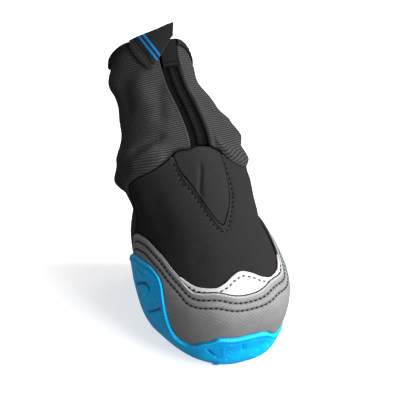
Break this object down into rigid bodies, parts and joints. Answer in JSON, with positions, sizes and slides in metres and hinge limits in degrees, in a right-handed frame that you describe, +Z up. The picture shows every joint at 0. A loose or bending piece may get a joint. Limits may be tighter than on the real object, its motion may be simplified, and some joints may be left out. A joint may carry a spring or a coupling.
{
  "type": "dog boot",
  "caption": "Winter boot for a dog's paw: rubber cup sole with side wings, softshell upper, coated toe rand, ribbed knit gaiter with a front zip.",
  "frame": {"origin": "on the floor plane, on the flat lug at the middle of the sole's length", "axes": "+Z up, toe towards -Y, +X to the boot's left, which is the right-hand side seen from the front"},
  "size_m": [0.0714, 0.1284, 0.1421],
  "materials": {
    "blue_rubber": "moulded blue rubber, satin, with fine pale specks",
    "foam": "dark fabric over a thin foam board",
    "softshell": "matt dark grey softshell",
    "rand_fabric": "mid grey coated fabric with a fine weave",
    "silver_fabric": "smooth pale silver reflective film on cloth",
    "gusset_fabric": "matt dark grey softshell",
    "knit": "dark grey ribbed knit",
    "zip_tape": "near black woven tape with a nylon coil",
    "patch_fabric": "smooth dark patch",
    "binding": "dark grey stretch binding",
    "tab_fabric": "smooth dark flap with a plain blue border"
  },
  "bodies": {
    "root": {"outsole": "blue_rubber", "insole": "foam", "upper": "softshell", "toe_rand": "rand_fabric", "reflective_trim": "silver_fabric", "throat_gusset": "gusset_fabric", "gaiter": "knit", "zip": "zip_tape", "zip_garage": "patch_fabric", "collar_binding": "binding", "collar_tab": "tab_fabric"}
  },
  "joints": []
}
